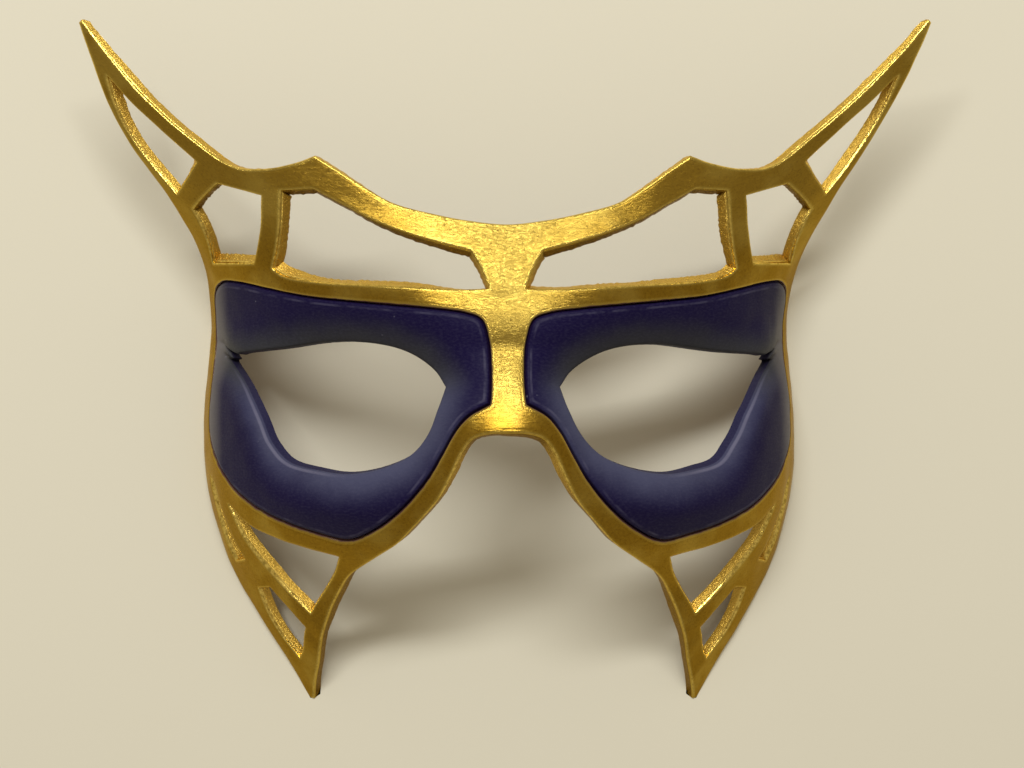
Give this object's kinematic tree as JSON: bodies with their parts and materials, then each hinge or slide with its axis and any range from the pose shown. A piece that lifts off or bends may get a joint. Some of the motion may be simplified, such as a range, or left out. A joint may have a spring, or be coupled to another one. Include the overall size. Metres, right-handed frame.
{
  "type": "leather masquerade mask",
  "caption": "Moulded leather half-mask: an openwork gold frame with horned wings and pointed cheeks around blue eye panels; covers the brow, eyes and cheeks.",
  "frame": {"origin": "middle of the base of the bounding box, on the surface that the mask rests on", "axes": "+X across the mask to the right as seen from the front, +Y up to the brow, +Z out of the face"},
  "size_m": [0.1962, 0.1584, 0.0567],
  "materials": {
    "gold_leather": "leather under brushed metallic gold paint, satin",
    "blue_leather": "leather dyed dark blue-violet, shaded to grey-blue at the eye holes, satin"
  },
  "bodies": {
    "root": {"gold_frame": "gold_leather", "eye_panel_left": "blue_leather", "eye_panel_right": "blue_leather"}
  },
  "joints": []
}
